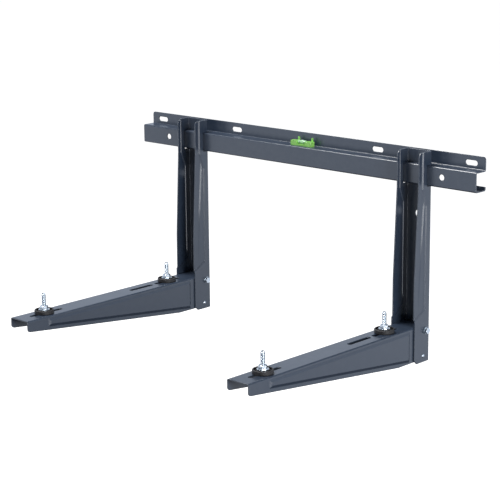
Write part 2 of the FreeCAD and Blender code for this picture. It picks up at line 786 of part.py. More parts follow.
os.makedirs("parts", exist_ok=True)
for body in bodies:
    body.Shape.exportStep("parts/%s.step" % body.Label)
    print(body.Label, len(body.Shape.Solids), round(body.Shape.Volume, 1))
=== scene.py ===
import math
import bpy
from mathutils import Matrix, Vector


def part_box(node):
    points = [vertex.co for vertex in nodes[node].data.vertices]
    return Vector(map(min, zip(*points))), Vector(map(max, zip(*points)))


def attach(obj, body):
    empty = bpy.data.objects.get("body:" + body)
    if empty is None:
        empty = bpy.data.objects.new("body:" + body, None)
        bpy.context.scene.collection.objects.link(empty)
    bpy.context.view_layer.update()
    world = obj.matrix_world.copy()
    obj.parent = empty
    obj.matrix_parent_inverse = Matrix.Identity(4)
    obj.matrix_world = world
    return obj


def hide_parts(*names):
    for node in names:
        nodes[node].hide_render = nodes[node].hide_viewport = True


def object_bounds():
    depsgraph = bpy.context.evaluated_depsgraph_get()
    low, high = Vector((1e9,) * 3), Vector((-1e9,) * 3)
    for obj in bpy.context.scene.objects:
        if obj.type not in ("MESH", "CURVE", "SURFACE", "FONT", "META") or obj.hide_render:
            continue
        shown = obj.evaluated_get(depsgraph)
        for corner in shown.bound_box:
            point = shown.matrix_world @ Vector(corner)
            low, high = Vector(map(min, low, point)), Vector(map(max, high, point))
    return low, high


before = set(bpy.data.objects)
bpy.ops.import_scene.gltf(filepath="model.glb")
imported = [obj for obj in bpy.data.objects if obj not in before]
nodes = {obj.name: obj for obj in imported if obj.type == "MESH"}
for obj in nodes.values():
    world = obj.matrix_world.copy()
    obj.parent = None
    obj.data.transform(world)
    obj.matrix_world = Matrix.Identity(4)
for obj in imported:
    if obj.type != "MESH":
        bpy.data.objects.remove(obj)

# Wall bracket for an outdoor unit: dark powder-coated steel, bright zinc fasteners,
# rubber feet and a small green level. Metres, wall plane at Y = 0, +Z up.

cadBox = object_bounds()
steelNodes = ["wall_rail", "left_upright", "right_upright", "left_arm", "right_arm"]
corners = ["left_front", "left_rear", "right_front", "right_rear"]


def deselectAll():
    for item in bpy.context.selected_objects:
        item.select_set(False)
    bpy.context.view_layer.objects.active = None


def pick(item):
    deselectAll()
    item.select_set(True)
    bpy.context.view_layer.objects.active = item


def settle(item, name, material):
    # origin to the world's, normals out, then the piece joins the frame
    pick(item)
    bpy.ops.object.transform_apply(location=True, rotation=True, scale=True)
    bpy.ops.object.mode_set(mode="EDIT")
    bpy.ops.mesh.select_all(action="SELECT")
    bpy.ops.mesh.normals_make_consistent(inside=False)
    bpy.ops.object.mode_set(mode="OBJECT")
    item.name = name
    item.data.name = name
    item.data.materials.clear()
    item.data.materials.append(material)
    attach(item, "root")
    return item


def addBevel(item, width, segments=2, angle=30):
    pick(item)
    bevel = item.modifiers.new("edgeBevel", "BEVEL")
    bevel.width = width
    bevel.segments = segments
    bevel.limit_method = "ANGLE"
    bevel.angle_limit = math.radians(angle)
    bpy.ops.object.modifier_apply(modifier=bevel.name)


def joinAll(items):
    deselectAll()
    for item in items:
        item.select_set(True)
    bpy.context.view_layer.objects.active = items[0]
    bpy.ops.object.join()
    return items[0]


# Shader helpers

def newMaterial(name):
    material = bpy.data.materials.new(name)
    material.use_nodes = True
    return material, material.node_tree, material.node_tree.nodes["Principled BSDF"]


def addNode(tree, kind, x, y, **settings):
    node = tree.nodes.new(kind)
    node.location = (x, y)
    for key, value in settings.items():
        setattr(node, key, value)
    return node


def objectVector(tree):
    place = addNode(tree, "ShaderNodeTexCoord", -1400, 0)
    return place.outputs["Object"]


def newEffect(name, inputs, outputs):
    # node group with float sockets and a vector input
    group = bpy.data.node_groups.new(name, "ShaderNodeTree")
    group.interface.new_socket("Vector", in_out="INPUT", socket_type="NodeSocketVector")
    for label, value in inputs.items():
        socket = group.interface.new_socket(label, in_out="INPUT", socket_type="NodeSocketFloat")
        socket.default_value = value
    for label in outputs:
        group.interface.new_socket(label, in_out="OUTPUT", socket_type="NodeSocketFloat")
    source = addNode(group, "NodeGroupInput", -700, 0)
    target = addNode(group, "NodeGroupOutput", 700, 0)
    return group, source, target


# coatPeel: fine orange peel of a sprayed or moulded skin, and a slow mottle
coatPeel, peelIn, peelOut = newEffect("coatPeel", {"Peel Scale": 900.0, "Mottle Scale": 14.0},
                                      ["Height", "Mottle"])
fine = addNode(coatPeel, "ShaderNodeTexNoise", -300, 150)
fine.inputs["Detail"].default_value = 3.0
fine.inputs["Roughness"].default_value = 0.6
slow = addNode(coatPeel, "ShaderNodeTexNoise", -300, -150)
slow.inputs["Detail"].default_value = 4.0
coatPeel.links.new(peelIn.outputs["Vector"], fine.inputs["Vector"])
coatPeel.links.new(peelIn.outputs["Peel Scale"], fine.inputs["Scale"])
coatPeel.links.new(peelIn.outputs["Vector"], slow.inputs["Vector"])
coatPeel.links.new(peelIn.outputs["Mottle Scale"], slow.inputs["Scale"])
coatPeel.links.new(fine.outputs["Fac"], peelOut.inputs["Height"])
coatPeel.links.new(slow.outputs["Fac"], peelOut.inputs["Mottle"])

# edgeRub: bright on convex edges, broken up, where a finish thins or is handled
rubLook = {"sharpFrom": 0.52, "sharpTo": 0.62}    # pointiness
edgeRub, rubIn, rubOut = newEffect("edgeRub", {"Amount": 0.5, "Break Scale": 120.0}, ["Mask"])
shape = addNode(edgeRub, "ShaderNodeNewGeometry", -700, 250)
sharp = addNode(edgeRub, "ShaderNodeMapRange", -450, 250)
sharp.inputs["From Min"].default_value = rubLook["sharpFrom"]
sharp.inputs["From Max"].default_value = rubLook["sharpTo"]
breakUp = addNode(edgeRub, "ShaderNodeTexNoise", -450, -100)
breakUp.inputs["Detail"].default_value = 3.0
both = addNode(edgeRub, "ShaderNodeMath", -150, 100, operation="MULTIPLY")
much = addNode(edgeRub, "ShaderNodeMath", 100, 100, operation="MULTIPLY", use_clamp=True)
edgeRub.links.new(rubIn.outputs["Vector"], breakUp.inputs["Vector"])
edgeRub.links.new(rubIn.outputs["Break Scale"], breakUp.inputs["Scale"])
edgeRub.links.new(shape.outputs["Pointiness"], sharp.inputs["Value"])
edgeRub.links.new(sharp.outputs["Result"], both.inputs[0])
edgeRub.links.new(breakUp.outputs["Fac"], both.inputs[1])
edgeRub.links.new(both.outputs["Value"], much.inputs[0])
edgeRub.links.new(rubIn.outputs["Amount"], much.inputs[1])
edgeRub.links.new(much.outputs["Value"], rubOut.inputs["Mask"])

# dustSettle: a mask for fine dust and marks, strongest where the noise bunches
dustLook = {"bunchFrom": 0.45, "bunchTo": 0.75}
dustSettle, dustIn, dustOut = newEffect("dustSettle", {"Scale": 90.0, "Amount": 0.4}, ["Mask"])
specks = addNode(dustSettle, "ShaderNodeTexNoise", -400, 0)
specks.inputs["Detail"].default_value = 6.0
bunch = addNode(dustSettle, "ShaderNodeMapRange", -150, 0)
bunch.inputs["From Min"].default_value = dustLook["bunchFrom"]
bunch.inputs["From Max"].default_value = dustLook["bunchTo"]
thin = addNode(dustSettle, "ShaderNodeMath", 150, 0, operation="MULTIPLY", use_clamp=True)
dustSettle.links.new(dustIn.outputs["Vector"], specks.inputs["Vector"])
dustSettle.links.new(dustIn.outputs["Scale"], specks.inputs["Scale"])
dustSettle.links.new(specks.outputs["Fac"], bunch.inputs["Value"])
dustSettle.links.new(bunch.outputs["Result"], thin.inputs[0])
dustSettle.links.new(dustIn.outputs["Amount"], thin.inputs[1])
dustSettle.links.new(thin.outputs["Value"], dustOut.inputs["Mask"])

# foldLine: a soft step along the front of an upright's flank, as its press leaves it
foldLook = {
    "frontTop": -0.0370,      # the fold's place above the knee
    "kneeTop": -0.052,
    "kneeLow": -0.078,
    "frontKnee": -0.0335,
    "slantEnd": -0.240,
    "frontLow": -0.0445,
    "footEnd": -0.262,
    "halfWidth": 0.0021,
    "innerRear": -0.0302,
    "innerTop": -0.0405,
    "crestHalfWidth": 0.0012,
    "fadeStart": -0.130,
    "lowShare": 0.15,
    "depth": 0.0026,
    "flankSide": 0.0232,      # from the upright's middle
}

foldLine, foldIn, foldOut = newEffect("foldLine", {"Middle": 0.0}, ["Height"])
parts = addNode(foldLine, "ShaderNodeSeparateXYZ", -500, 0)
foldLine.links.new(foldIn.outputs["Vector"], parts.inputs["Vector"])


def foldRange(x, y, source, fromMin, fromMax, toMin, toMax):
    node = addNode(foldLine, "ShaderNodeMapRange", x, y)
    for label, value in (("From Min", fromMin), ("From Max", fromMax),
                         ("To Min", toMin), ("To Max", toMax)):
        node.inputs[label].default_value = value
    foldLine.links.new(source, node.inputs["Value"])
    return node.outputs["Result"]


def foldMath(x, y, operation, first, second):
    node = addNode(foldLine, "ShaderNodeMath", x, y, operation=operation)
    for index, value in enumerate((first, second)):
        if isinstance(value, float):
            node.inputs[index].default_value = value
        else:
            foldLine.links.new(value, node.inputs[index])
    return node.outputs["Value"]


# the outer fold follows the slanted front edge and fades towards the foot
knee = foldRange(-300, 200, parts.outputs["Z"], foldLook["kneeLow"], foldLook["kneeTop"],
                 foldLook["frontKnee"], foldLook["frontTop"])
slant = foldRange(-300, -50, parts.outputs["Z"], foldLook["slantEnd"], foldLook["kneeLow"],
                  foldLook["frontLow"] - foldLook["frontKnee"], 0.0)
path = foldMath(-100, 100, "ADD", knee, slant)
offset = foldMath(50, 100, "SUBTRACT", parts.outputs["Y"], path)
step = foldRange(200, 100, offset, -foldLook["halfWidth"], foldLook["halfWidth"], 0.0, 1.0)
across = foldMath(-300, -300, "SUBTRACT", parts.outputs["X"], foldIn.outputs["Middle"])
fromMiddle = foldMath(-150, -300, "ABSOLUTE", across, 0.0)
outside = foldMath(0, -300, "GREATER_THAN", fromMiddle, foldLook["flankSide"])
above = foldRange(0, -450, parts.outputs["Z"], foldLook["slantEnd"], foldLook["fadeStart"],
                  foldLook["lowShare"], 1.0)
below = foldRange(0, -650, parts.outputs["Z"], foldLook["kneeLow"], foldLook["kneeTop"], 1.0, 0.0)
foot = foldRange(0, -850, parts.outputs["Z"], foldLook["footEnd"], foldLook["slantEnd"], 0.0, 1.0)
shown = foldMath(250, -350, "MULTIPLY", foldMath(150, -300, "MULTIPLY", outside, above),
                 foldMath(150, -650, "MULTIPLY", below, foot))
outerFold = foldMath(450, 0, "MULTIPLY", step, shown)

# the inner fold is the crest of the pressed step, seen from inside the channel
crest = foldRange(-300, 500, parts.outputs["Z"], foldLook["kneeLow"], foldLook["kneeTop"],
                  foldLook["innerRear"], foldLook["innerTop"])
crestOffset = foldMath(50, 500, "SUBTRACT", parts.outputs["Y"], crest)
crestStep = foldRange(200, 500, crestOffset, -foldLook["crestHalfWidth"],
                      foldLook["crestHalfWidth"], -1.0, 0.0)
inside = foldMath(0, 400, "LESS_THAN", fromMiddle, foldLook["flankSide"])
innerFold = foldMath(450, 400, "MULTIPLY", crestStep,
                     foldMath(250, 400, "MULTIPLY", inside, foot))
foldLine.links.new(foldMath(600, 200, "ADD", outerFold, innerFold), foldOut.inputs["Height"])
print("shared effects ready")


def placeEffect(tree, group, vector, x, y, **values):
    node = addNode(tree, "ShaderNodeGroup", x, y)
    node.node_tree = group
    for label, value in values.items():
        node.inputs[label].default_value = value
    tree.links.new(vector, node.inputs["Vector"])
    return node


def mixColour(tree, x, y, factor, first, second):
    # first and second are either colours or sockets
    node = addNode(tree, "ShaderNodeMix", x, y, data_type="RGBA")
    tree.links.new(factor, node.inputs["Factor"])
    for label, value in (("A", first), ("B", second)):
        if isinstance(value, tuple):
            node.inputs[label].default_value = value
        else:
            tree.links.new(value, node.inputs[label])
    return node.outputs["Result"]


def ranged(tree, x, y, source, low, high):
    node = addNode(tree, "ShaderNodeMapRange", x, y)
    node.inputs["To Min"].default_value = low
    node.inputs["To Max"].default_value = high
    tree.links.new(source, node.inputs["Value"])
    return node.outputs["Result"]


def finishNormal(tree, skin, height, strength, distance, edgeRadius, fold=None):
    # rounded edges from the Bevel node, then any fold, then the fine bump
    edge = addNode(tree, "ShaderNodeBevel", -850, -520)
    edge.samples = 6
    edge.inputs["Radius"].default_value = edgeRadius
    under = edge.outputs["Normal"]
    if fold:
        press = addNode(tree, "ShaderNodeBump", -600, -520)
        press.inputs["Strength"].default_value = 1.0
        press.inputs["Distance"].default_value = foldLook["depth"]
        tree.links.new(fold, press.inputs["Height"])
        tree.links.new(under, press.inputs["Normal"])
        under = press.outputs["Normal"]
    bump = addNode(tree, "ShaderNodeBump", -400, -350)
    bump.inputs["Strength"].default_value = strength
    bump.inputs["Distance"].default_value = distance
    tree.links.new(height, bump.inputs["Height"])
    tree.links.new(under, bump.inputs["Normal"])
    tree.links.new(bump.outputs["Normal"], skin.inputs["Normal"])


coatLook = {
    "deep": (0.016, 0.027, 0.049, 1),
    "open": (0.020, 0.033, 0.058, 1),
    "rubbed": (0.060, 0.072, 0.095, 1),
    "dust": (0.055, 0.075, 0.105, 1),
    "roughness": (0.26, 0.33),
    "specular": 0.95,
    "peelScale": 1100.0,
    "peelDepth": 0.00005,
    "edgeRadius": 0.0011,
}


def makeCoat(name, foldMiddle=None):
    material, tree, skin = newMaterial(name)
    vector = objectVector(tree)
    peel = placeEffect(tree, coatPeel, vector, -1100, 150, **{"Peel Scale": coatLook["peelScale"]})
    rub = placeEffect(tree, edgeRub, vector, -1100, -150, Amount=0.45)
    dust = placeEffect(tree, dustSettle, vector, -1100, -400, Scale=60.0, Amount=0.10)
    tone = mixColour(tree, -800, 300, peel.outputs["Mottle"], coatLook["deep"], coatLook["open"])
    dusty = mixColour(tree, -600, 260, dust.outputs["Mask"], tone, coatLook["dust"])
    worn = mixColour(tree, -400, 220, rub.outputs["Mask"], dusty, coatLook["rubbed"])
    tree.links.new(worn, skin.inputs["Base Color"])
    gloss = ranged(tree, -650, -100, peel.outputs["Mottle"], *coatLook["roughness"])
    tree.links.new(gloss, skin.inputs["Roughness"])
    fold = None
    if foldMiddle is not None:
        press = placeEffect(tree, foldLine, vector, -1100, -650, Middle=foldMiddle)
        fold = press.outputs["Height"]
    skin.inputs["Specular IOR Level"].default_value = coatLook["specular"]
    finishNormal(tree, skin, peel.outputs["Height"], 0.35, coatLook["peelDepth"],
                 coatLook["edgeRadius"], fold)
    return material


zincLook = {
    "bright": (0.62, 0.68, 0.74, 1),
    "dull": (0.40, 0.45, 0.50, 1),
    "rubbed": (0.84, 0.88, 0.91, 1),
    "roughness": (0.19, 0.31),
    "edgeRadius": 0.0003,
}


def makeZinc():
    material, tree, skin = newMaterial("brightZinc")
    vector = objectVector(tree)
    blotch = placeEffect(tree, coatPeel, vector, -1100, 150,
                         **{"Peel Scale": 1600.0, "Mottle Scale": 260.0})
    rub = placeEffect(tree, edgeRub, vector, -1100, -150, Amount=0.7)
    tone = mixColour(tree, -800, 300, blotch.outputs["Mottle"],
                     zincLook["dull"], zincLook["bright"])
    worn = mixColour(tree, -500, 250, rub.outputs["Mask"], tone, zincLook["rubbed"])
    tree.links.new(worn, skin.inputs["Base Color"])
    gloss = ranged(tree, -650, -100, blotch.outputs["Mottle"], *zincLook["roughness"])
    tree.links.new(gloss, skin.inputs["Roughness"])
    finishNormal(tree, skin, blotch.outputs["Height"], 0.2, 0.00003, zincLook["edgeRadius"])
    skin.inputs["Metallic"].default_value = 1.0
    return material


rubberLook = {
    "black": (0.006, 0.006, 0.007, 1),
    "grey": (0.011, 0.010, 0.011, 1),
    "dust": (0.045, 0.040, 0.038, 1),
    "roughness": (0.45, 0.62),
    "edgeRadius": 0.0005,
}


def makeRubber():
    material, tree, skin = newMaterial("footRubber")
    vector = objectVector(tree)
    peel = placeEffect(tree, coatPeel, vector, -1100, 150,
                       **{"Peel Scale": 700.0, "Mottle Scale": 120.0})
    rub = placeEffect(tree, edgeRub, vector, -1100, -150, Amount=0.6)
    dust = placeEffect(tree, dustSettle, vector, -1100, -400, Scale=140.0, Amount=0.15)
    tone = mixColour(tree, -800, 300, peel.outputs["Mottle"],
                     rubberLook["black"], rubberLook["grey"])
    dusty = mixColour(tree, -600, 260, dust.outputs["Mask"], tone, rubberLook["dust"])
    worn = mixColour(tree, -400, 220, rub.outputs["Mask"], dusty, rubberLook["dust"])
    tree.links.new(worn, skin.inputs["Base Color"])
    gloss = ranged(tree, -650, -100, peel.outputs["Mottle"], *rubberLook["roughness"])
    tree.links.new(gloss, skin.inputs["Roughness"])
    finishNormal(tree, skin, peel.outputs["Height"], 0.5, 0.0001, rubberLook["edgeRadius"])
    return material


levelLook = {
    "deep": (0.19, 0.58, 0.06, 1),
    "pale": (0.45, 0.88, 0.24, 1),
    "liquid": (0.40, 0.80, 0.40, 1),
    "liquidPale": (0.60, 0.90, 0.60, 1),
    "bubble": (0.85, 1.0, 0.90, 1),
    "mark": (0.02, 0.03, 0.02, 1),
}


def makeLevelPlastic(name, deep, pale, through, rough):
    material, tree, skin = newMaterial(name)
    vector = objectVector(tree)
    swirl = placeEffect(tree, coatPeel, vector, -1100, 150,
                        **{"Peel Scale": 900.0, "Mottle Scale": 160.0})
    tone = mixColour(tree, -650, 250, swirl.outputs["Mottle"], deep, pale)
    tree.links.new(tone, skin.inputs["Base Color"])
    gloss = ranged(tree, -650, -100, swirl.outputs["Mottle"], rough, rough + 0.1)
    tree.links.new(gloss, skin.inputs["Roughness"])
    finishNormal(tree, skin, swirl.outputs["Height"], 0.15, 0.00003, 0.0003)
    skin.inputs["Transmission Weight"].default_value = through
    skin.inputs["IOR"].default_value = 1.49
    return material


coat = makeCoat("anthraciteCoat")
zinc = makeZinc()
rubber = makeRubber()
levelGreen = makeLevelPlastic("levelGreen", levelLook["deep"], levelLook["pale"], 0.25, 0.10)
levelLiquid = makeLevelPlastic("levelLiquid", levelLook["liquid"], levelLook["liquidPale"],
                               0.35, 0.06)
levelBubble = makeLevelPlastic("levelBubble", levelLook["bubble"], levelLook["bubble"], 0.3, 0.05)
levelMark = makeLevelPlastic("levelMark", levelLook["mark"], levelLook["mark"], 0.0, 0.35)


def dress(node, material):
    for entry in nodes[node].material_slots:
        entry.material = material


def middleOf(node):
    low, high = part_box(node)
    return (low[0] + high[0]) / 2


for name in nodes:
    if name.endswith("_upright"):
        dress(name, makeCoat(name.replace("_upright", "UprightCoat"), middleOf(name)))
    elif name in steelNodes:
        dress(name, coat)
    elif name.endswith("rubber_foot"):
        dress(name, rubber)
    elif name == "level_body":
        dress(name, levelGreen)
    elif name == "level_vial":
        dress(name, levelLiquid)
    else:
        dress(name, zinc)
print("materials on", len(nodes), "nodes")

# Foot bolts: hexagon head, core and a rolled thread up to a turned tip
boltLook = {
    "headHeight": 0.0053,
    "headFlats": 0.013,
    "headBevel": 0.0006,
    "coreRadius": 0.00334,
    "crestRadius": 0.00398,
    "pitch": 0.00125,
    "threadStart": 0.0125,    # above the head's bearing face
    "tipTaper": 0.0011,
    "turnSteps": 20,
}


def makeBoltCore(middle, low, high):
    bearing = low + boltLook["headHeight"]
    bpy.ops.mesh.primitive_cylinder_add(vertices=28, radius=boltLook["coreRadius"],
                                        depth=high - bearing,
                                        location=(*middle, (high + bearing) / 2))
    core = bpy.context.object
    bpy.ops.object.transform_apply(location=True)
    bpy.ops.object.mode_set(mode="EDIT")
    bpy.ops.mesh.select_all(action="DESELECT")
    bpy.ops.object.mode_set(mode="OBJECT")
    for face in core.data.polygons:
        face.select = face.normal.z > 0.9
    bpy.ops.object.mode_set(mode="EDIT")
    # the tip: the end face drops and a smaller one rises from it
    bpy.ops.transform.translate(value=(0, 0, -boltLook["tipTaper"]))
    bpy.ops.mesh.extrude_region_move(TRANSFORM_OT_translate={"value": (0, 0, boltLook["tipTaper"])})
    bpy.ops.transform.resize(value=(0.78, 0.78, 1), center_override=(*middle, high))
    bpy.ops.mesh.inset(thickness=0.0004, depth=-0.0002)
    bpy.ops.object.mode_set(mode="OBJECT")
    return core


def makeBoltHead(middle, low):
    bearing = low + boltLook["headHeight"]
    bpy.ops.mesh.primitive_cylinder_add(vertices=6, radius=boltLook["headFlats"] / math.sqrt(3),
                                        depth=boltLook["headHeight"],
                                        location=(*middle, (low + bearing) / 2),
                                        rotation=(0, 0, math.radians(30)))
    head = bpy.context.object
    bpy.ops.object.transform_apply(location=True, rotation=True)
    bpy.ops.object.mode_set(mode="EDIT")
    bpy.ops.mesh.select_all(action="DESELECT")
    bpy.ops.object.mode_set(mode="OBJECT")
    for face in head.data.polygons:
        face.select = face.normal.z < -0.9
    bpy.ops.object.mode_set(mode="EDIT")
    bpy.ops.mesh.inset(thickness=0.0009, depth=0)
    bpy.ops.transform.translate(value=(0, 0, -0.0001))
    bpy.ops.object.mode_set(mode="OBJECT")
    addBevel(head, boltLook["headBevel"])
    return head


def makeThread(middle, start, end):
    depth = boltLook["crestRadius"] - boltLook["coreRadius"]
    turns = int((end - start) / boltLook["pitch"]) - 1
    ridgeMiddle = (boltLook["coreRadius"], 0, start + boltLook["pitch"] / 2)
    bpy.ops.mesh.primitive_circle_add(vertices=4, radius=depth * 1.25, fill_type="NOTHING",
                                      location=ridgeMiddle, rotation=(math.radians(90), 0, 0))
    ridge = bpy.context.object
    bpy.ops.object.transform_apply(location=True, rotation=True)
    bpy.ops.object.mode_set(mode="EDIT")
    bpy.ops.mesh.select_all(action="SELECT")
    bpy.ops.transform.resize(value=(0.8, 1, 0.70), center_override=ridgeMiddle)
    bpy.ops.object.mode_set(mode="OBJECT")
    winding = ridge.modifiers.new("winding", "SCREW")
    winding.axis = "Z"
    winding.angle = math.radians(360)
    winding.screw_offset = boltLook["pitch"]
    winding.iterations = turns
    winding.steps = boltLook["turnSteps"]
    winding.render_steps = boltLook["turnSteps"]
    winding.use_merge_vertices = True
    winding.merge_threshold = 0.00001
    bpy.ops.object.modifier_apply(modifier=winding.name)
    bpy.ops.object.mode_set(mode="EDIT")
    bpy.ops.mesh.select_all(action="SELECT")
    bpy.ops.mesh.remove_doubles(threshold=0.00001)
    bpy.ops.mesh.fill_holes(sides=0)
    bpy.ops.mesh.select_all(action="SELECT")
    bpy.ops.transform.translate(value=(*middle, 0))
    bpy.ops.object.mode_set(mode="OBJECT")
    return ridge


for corner in corners:
    node = corner + "_foot_bolt"
    boxLow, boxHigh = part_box(node)
    middle = ((boxLow[0] + boxHigh[0]) / 2, (boxLow[1] + boxHigh[1]) / 2)
    deselectAll()
    core = makeBoltCore(middle, boxLow[2], boxHigh[2])
    head = makeBoltHead(middle, boxLow[2])
    bearing = boxLow[2] + boltLook["headHeight"]
    thread = makeThread(middle, bearing + boltLook["threadStart"],
                        boxHigh[2] - boltLook["tipTaper"])
    bolt = joinAll([core, head, thread])
    pick(bolt)
    bpy.ops.object.shade_smooth_by_angle(angle=math.radians(35))
    settle(bolt, corner + "_threaded_bolt", zinc)
    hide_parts(node)
print("foot bolts threaded")

# Level vial: a round tube of liquid with its bubble and two black rings
vialLook = {
    "fit": 0.985,             # of the vial's own radius
    "endRound": 0.0012,
    "bubbleLength": 0.0075,
    "bubbleRadius": 0.0017,
    "bubbleShift": 0.0008,
    "ringSpread": 0.0048,
    "ringWidth": 0.0005,
    "ringProud": 0.00012,
}

vialLow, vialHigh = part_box("level_vial")
vialMiddle = [(low + high) / 2 for low, high in zip(vialLow, vialHigh)]
vialRadius = (vialHigh[2] - vialLow[2]) / 2
vialLength = vialHigh[0] - vialLow[0]
tubeRadius = vialRadius * vialLook["fit"]


def makeVialTube():
    bpy.ops.mesh.primitive_cylinder_add(vertices=32, radius=tubeRadius, depth=vialLength,
                                        location=vialMiddle, rotation=(0, math.radians(90), 0))
    tube = bpy.context.object
    addBevel(tube, vialLook["endRound"], segments=3, angle=60)
    return tube


def makeVialBubble():
    bpy.ops.mesh.primitive_uv_sphere_add(segments=24, ring_count=12,
                                         radius=vialLook["bubbleRadius"], location=vialMiddle)
    bubble = bpy.context.object
    bpy.ops.object.transform_apply(location=True)
    bpy.ops.object.mode_set(mode="EDIT")
    bpy.ops.mesh.select_all(action="SELECT")
    stretch = vialLook["bubbleLength"] / (2 * vialLook["bubbleRadius"])
    bpy.ops.transform.resize(value=(stretch, 1, 0.75), center_override=vialMiddle)
    lift = vialRadius - vialLook["bubbleRadius"] * 0.55
    bpy.ops.transform.translate(value=(vialLook["bubbleShift"], 0, lift))
    bpy.ops.object.mode_set(mode="OBJECT")
    return bubble


def makeVialRing(side):
    bpy.ops.mesh.primitive_cylinder_add(vertices=32, radius=tubeRadius + vialLook["ringProud"],
                                        depth=vialLook["ringWidth"],
                                        location=(vialMiddle[0] + side * vialLook["ringSpread"],
                                                  vialMiddle[1], vialMiddle[2]),
                                        rotation=(0, math.radians(90), 0))
    ring = bpy.context.object
    addBevel(ring, 0.00008, segments=1, angle=60)
    return ring


deselectAll()
tube = makeVialTube()
pick(tube)
bpy.ops.object.shade_smooth_by_angle(angle=math.radians(40))
settle(tube, "vial_tube", levelLiquid)
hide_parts("level_vial")
bubble = makeVialBubble()
pick(bubble)
bpy.ops.object.shade_smooth()
settle(bubble, "vial_bubble", levelBubble)
for side, word in ((-1, "left"), (1, "right")):
    ring = makeVialRing(side)
    pick(ring)
    bpy.ops.object.shade_smooth_by_angle(angle=math.radians(40))
    settle(ring, "vial_ring_" + word, levelMark)
print("level vial made")

# Stage: a pale floor well below the arms and a plain pale room
stageLook = {
    "floorDrop": 0.45,
    "floorSize": 40.0,
    "floorPaint": (0.60, 0.60, 0.60, 1),
    "floorNear": 0.70,
    "floorFar": 1.5,
    "floorShown": (0.80, 0.95),
    "floorDim": (0.09, 0.09, 0.095, 1),
    "floorMirrored": (0.03, 1.0),
    "floorTint": (0.90, 0.97, 1.09, 1),
    "roomColour": (0.93, 0.96, 1.0, 1),
    "roomStrength": 0.11,
    "bandGlow": 0.86,
    "bandTint": (0.88, 0.97, 1.12),
    "bandRest": 0.10,
    "highSide": (0.70, 0.24, 0.67),    # a white board high on the right, seen only in reflections
    "highEdge": (0.90, 0.965),
    "highGlow": (1.45, 1.55, 1.70, 1),
    "darkSide": (0.75, -0.66, 0.0),    # where the photographer stands
    "darkEdge": (0.25, 0.65),
    "darkSideLevel": 0.10,
}

deselectAll()
bpy.ops.mesh.primitive_plane_add(size=stageLook["floorSize"],
                                 location=(0, 0, cadBox[0][2] - stageLook["floorDrop"]))
floor = bpy.context.object
floor.name = "paleFloor"

floorMaterial, floorTree, floorSkin = newMaterial("paleFloorPaint")
floorSkin.inputs["Roughness"].default_value = 0.9
floorSkin.inputs["Specular IOR Level"].default_value = 0.1
floorPlace = addNode(floorTree, "ShaderNodeTexCoord", -1100, -300)
floorReach = addNode(floorTree, "ShaderNodeVectorMath", -900, -300, operation="LENGTH")
floorFar = addNode(floorTree, "ShaderNodeMapRange", -700, -300)
floorFar.inputs["From Min"].default_value = stageLook["floorNear"]
floorFar.inputs["From Max"].default_value = stageLook["floorFar"]
floorTree.links.new(floorPlace.outputs["Object"], floorReach.inputs[0])
floorTree.links.new(floorReach.outputs["Value"], floorFar.inputs["Value"])
floorShown = ranged(floorTree, -500, -200, floorFar.outputs["Result"], *stageLook["floorShown"])
floorMirrored = ranged(floorTree, -500, -450, floorFar.outputs["Result"],
                       *stageLook["floorMirrored"])
floorRays = addNode(floorTree, "ShaderNodeLightPath", -500, 300)
floorSeen = addNode(floorTree, "ShaderNodeMath", -300, 300, operation="MAXIMUM")
floorSeenGlow = addNode(floorTree, "ShaderNodeMath", -100, 100, operation="MULTIPLY")
floorGlossGlow = addNode(floorTree, "ShaderNodeMath", -100, -100, operation="MULTIPLY")
floorGlow = addNode(floorTree, "ShaderNodeMath", 50, 0, operation="ADD")
floorLight = addNode(floorTree, "ShaderNodeEmission", 200, -150)
floorSum = addNode(floorTree, "ShaderNodeAddShader", 400, 0)
floorHue = mixColour(floorTree, 0, -350, floorRays.outputs["Is Glossy Ray"],
                     (1, 1, 1, 1), stageLook["floorTint"])
floorTree.links.new(floorHue, floorLight.inputs["Color"])
floorTree.links.new(floorRays.outputs["Is Camera Ray"], floorSeen.inputs[0])
floorTree.links.new(floorRays.outputs["Is Transmission Ray"], floorSeen.inputs[1])
floorTree.links.new(floorSeen.outputs["Value"], floorSeenGlow.inputs[0])
floorTree.links.new(floorShown, floorSeenGlow.inputs[1])
floorTree.links.new(floorRays.outputs["Is Glossy Ray"], floorGlossGlow.inputs[0])
floorTree.links.new(floorMirrored, floorGlossGlow.inputs[1])
floorTree.links.new(floorSeenGlow.outputs["Value"], floorGlow.inputs[0])
floorTree.links.new(floorGlossGlow.outputs["Value"], floorGlow.inputs[1])
floorTree.links.new(floorGlow.outputs["Value"], floorLight.inputs["Strength"])
floorTone = mixColour(floorTree, -100, 450, floorSeen.outputs["Value"],
                      stageLook["floorDim"], stageLook["floorPaint"])
floorTree.links.new(floorTone, floorSkin.inputs["Base Color"])
floorTree.links.new(floorSkin.outputs["BSDF"], floorSum.inputs[0])
floorTree.links.new(floorLight.outputs["Emission"], floorSum.inputs[1])
floorOut = floorTree.nodes["Material Output"]
floorTree.links.new(floorSum.outputs["Shader"], floorOut.inputs["Surface"])
floor.data.materials.append(floorMaterial)

